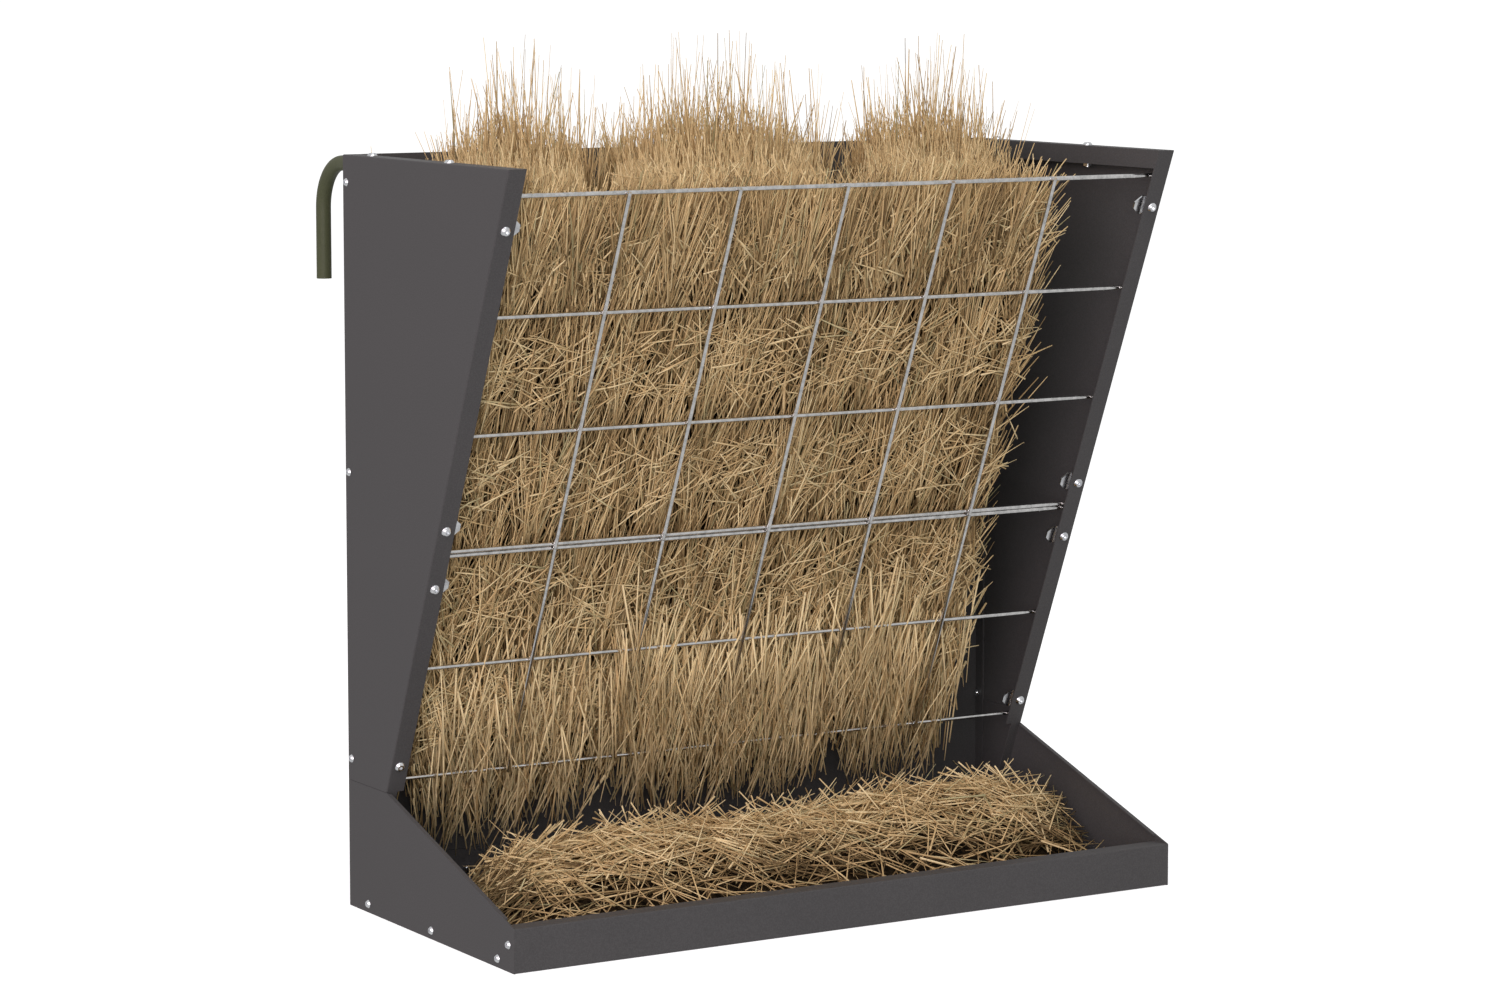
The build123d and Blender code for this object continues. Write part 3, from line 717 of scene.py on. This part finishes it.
# ---- hay in the trough -----------------------------------------------------------------------------------
HEAP = "trough_hay"
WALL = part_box("trough_end_right")[0].x - 6 * MM  # clear of the trough's ends
CREST_Y, HEAP_BACK = -25 * MM, 85 * MM
FRONT_LEFT, FRONT_RIGHT = -152 * MM, -122 * MM  # the heap's front foot, at either end
CREST_LEFT, CREST_GAIN = 42 * MM, 38 * MM  # the crest's height at the left end, and what it gains
SADDLE, SADDLE_PLACE, SADDLE_WIDTH = 10 * MM, 0.52, 0.17  # place and width as shares of the trough
END_DROP, END_SHARE = 24 * MM, 0.12  # the crest falls again over the last share of the trough
HEAP_LIMIT = 115 * MM
OVER_SKIN, STICKING_UP, LOOSE = 1500, 100, 160  # stems in each half of the heap
HEAP_LENGTHS, STICKING_UP_LENGTHS = (50 * MM, 105 * MM), (35 * MM, 62 * MM)
SHADE_BELOW = 46 * MM  # stems lower than this get darker tones, painted shade for the shade of those above


def heap_height(x, y):
    """The heap's skin: a ridge along the trough, higher on the right, with its back left corner empty."""
    along = np.clip((x + WALL) / (2 * WALL), 0, 1)
    saddle = SADDLE * np.exp(-(((along - SADDLE_PLACE) / SADDLE_WIDTH) ** 2))
    crest = CREST_LEFT + CREST_GAIN * (1 - np.exp(-along / 0.16)) - saddle
    crest = crest - END_DROP * np.clip((along - 1 + END_SHARE) / END_SHARE, 0, 1)
    foot = FRONT_LEFT + (FRONT_RIGHT - FRONT_LEFT) * along
    forward = np.clip((CREST_Y - y) / (CREST_Y - foot), 0, 1)
    backward = np.clip((y - CREST_Y) / (HEAP_BACK - CREST_Y), 0, 1)
    corner = np.clip((along - 0.22 * backward) / 0.1, 0, 1)
    return TROUGH_FLOOR + crest * (1 - forward**1.2) * (1 - 0.75 * backward**1.4) * corner


def heap_core():
    """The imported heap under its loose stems, closed below."""
    columns, rows = 70, 30
    across = np.linspace(20 * MM - WALL, WALL - 16 * MM, columns)
    x, y = np.meshgrid(across, np.linspace(-125 * MM, HEAP_BACK, rows))
    lumps = 3 * MM * np.sin(x / 0.012 + 2 * np.sin(y / 0.02)) * np.sin(y / 0.013)
    skin = np.maximum(heap_height(x, y) * 0.85 - 16 * MM + lumps, TROUGH_FLOOR + 2 * MM)
    upper = np.stack((x, y, skin), -1).reshape(-1, 3)
    lower = upper.copy()
    lower[:, Z] = TROUGH_FLOOR + 0.5 * MM
    # its nearly black material is painted shade for the gaps between the stems
    return closed_grid("trough_hay_inside", upper, lower, rows, INSIDE_SHADE, HEAP)


def lying(x, y, layer, length, lift, pitch):
    """Stems that follow the heap's skin, at a depth below it, with some extra lift and pitch."""
    count = len(x)
    along = draw.normal(0, 0.5, count)
    heading = np.where(draw.random(count) < 0.75, along, draw.uniform(0, math.pi, count))
    ahead = np.stack((np.cos(heading), np.sin(heading)), 1)
    step = 18 * MM
    rise = heap_height(x + step * ahead[:, 0], y + step * ahead[:, 1])
    rise = rise - heap_height(x - step * ahead[:, 0], y - step * ahead[:, 1])
    slope = rise / (2 * step) + pitch
    centre = np.stack((x, y, heap_height(x, y) - layer + lift), 1)
    root, tip = ends_of(centre, np.column_stack((ahead, slope)), length)
    keep_between(root, tip, X, -WALL, WALL)
    keep_between(root, tip, Y, LIP_BACK_Y, BACK_Y - 6 * MM)
    keep_between(root, tip, Z, TROUGH_FLOOR + 4 * MM, HEAP_LIMIT)
    return root, tip


def heap_stems(name, left, right):
    """Half of the heap: stems over its skin, some sticking up along the crest, a few loose ones in front."""
    layer = draw.exponential(8 * MM, OVER_SKIN)
    x = draw.uniform(left, right, OVER_SKIN)
    y = draw.triangular(-102 * MM, CREST_Y, HEAP_BACK, OVER_SKIN)
    length = draw.uniform(*HEAP_LENGTHS, OVER_SKIN)
    root, tip = lying(x, y, layer, length, 0, draw.normal(0, 0.2, OVER_SKIN))
    # painted shade: low stems darken in tone, for the shade cast by those above
    painted_shade = 2.0 * np.clip(SHADE_BELOW - (root[:, Z] + tip[:, Z]) / 2, 0, None)
    groups = [group(root, tip, layer + painted_shade, 0.8)]
    x = draw.uniform(left, right, STICKING_UP)
    y = draw.normal(CREST_Y, 22 * MM, STICKING_UP)
    pitch = draw.choice((-1, 1), STICKING_UP) * draw.uniform(0.3, 1.2, STICKING_UP)
    root, tip = lying(x, y, 0, draw.uniform(*STICKING_UP_LENGTHS, STICKING_UP), 7 * MM, pitch)
    groups.append(group(root, tip, bright=0.82, thick=2.0 * MM))
    x = draw.uniform(left, right, LOOSE)
    y = draw.uniform(LIP_BACK_Y, -95 * MM, LOOSE)
    length = draw.uniform(*HEAP_LENGTHS, LOOSE)
    root, tip = lying(x, y, 0, length, 4 * MM, draw.normal(0, 0.1, LOOSE))
    groups.append(group(root, tip, bright=0.5))
    stems(name, HEAP, groups)


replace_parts(heap_core(), HEAP)
heap_stems("trough_hay_left", -WALL, 0)
heap_stems("trough_hay_right", 0, WALL)

# ---- floor, light and camera -----------------------------------------------------------------------------
FLOOR_SIZE = 160.0
bpy.ops.mesh.primitive_plane_add(size=FLOOR_SIZE, location=(0, 0, cad_low.z - 0.2 * MM))
floor = bpy.context.object
floor.name = "studio_floor"
floor_paint, *_, floor_shader = new_material("pale_floor", Roughness=0.9)
floor_shader.inputs["Base Color"].default_value = (0.97, 0.97, 0.97, 1)
floor_shader.inputs["Specular IOR Level"].default_value = 0.0
floor_shader.inputs["Emission Color"].default_value = (1, 1, 1, 1)
floor_shader.inputs["Emission Strength"].default_value = 0.5
floor.data.materials.append(floor_paint)
floor.visible_diffuse = False  # the object is lit as if it stood clear of the floor
floor.visible_glossy = False


def studio_world(above, below):
    """Soft light, a little stronger from above, behind a white backdrop."""
    world = bpy.data.worlds.new("studio")
    bpy.context.scene.world = world
    world.use_nodes = True
    nodes, links = world.node_tree.nodes, world.node_tree.links
    direction = nodes.new("ShaderNodeTexCoord").outputs["Generated"]
    axes = nodes.new("ShaderNodeSeparateXYZ")
    links.new(direction, axes.inputs[0])
    sky = nodes["Background"]
    sky.inputs["Color"].default_value = (1, 1, 1, 1)
    lit = remap(nodes, links, axes.outputs["Z"], (-0.25, 0.1), (below, above))
    seen = nodes.new("ShaderNodeLightPath").outputs["Is Camera Ray"]
    strength = nodes.new("ShaderNodeMath")
    strength.operation = "MAXIMUM"
    links.new(lit, strength.inputs[0])
    links.new(seen, strength.inputs[1])
    links.new(strength.outputs[0], sky.inputs["Strength"])


def softbox(name, place, aim, size, watts, colour=(1, 1, 1)):
    """A square area light that points at a place."""
    light = bpy.data.objects.new(name, bpy.data.lights.new(name, "AREA"))
    light.data.shape = "SQUARE"
    light.data.size = size
    light.data.energy = watts
    light.data.color = colour
    light.location = place
    light.rotation_euler = (Vector(aim) - Vector(place)).to_track_quat("-Z", "Y").to_euler()
    bpy.context.scene.collection.objects.link(light)


studio_world(above=0.62, below=0.57)
softbox("softbox_left", (-2.55, -1.6, 1.35), aim=(0, 0, 0.4), size=2.0, watts=31, colour=(1.0, 0.81, 0.88))
softbox("softbox_front", (-1.8, -2.7, 0.7), aim=(0, 0, 0.35), size=1.6, watts=24)
softbox("softbox_top", (-0.5, -1.2, 3.0), aim=(0, 0, 0.3), size=1.3, watts=15)

AIM = Vector((-0.0075, -0.0219, 0.4559))  # the camera looks at this place, near the feeder's middle
AZIMUTH, ELEVATION, DISTANCE = math.radians(-31.11), math.radians(6.04), 4.029
LENS = 104.3
SHIFT_UP = -0.06
toward_camera = Vector(
    (math.sin(AZIMUTH) * math.cos(ELEVATION), -math.cos(AZIMUTH) * math.cos(ELEVATION), math.sin(ELEVATION))
)
camera = bpy.data.objects.new("camera", bpy.data.cameras.new("camera"))
camera.location = AIM + toward_camera * DISTANCE
camera.rotation_euler = (-toward_camera).to_track_quat("-Z", "Y").to_euler()
camera.data.lens = LENS
camera.data.shift_y = SHIFT_UP
bpy.context.scene.collection.objects.link(camera)
bpy.context.scene.camera = camera
bpy.context.scene.view_settings.view_transform = "Standard"
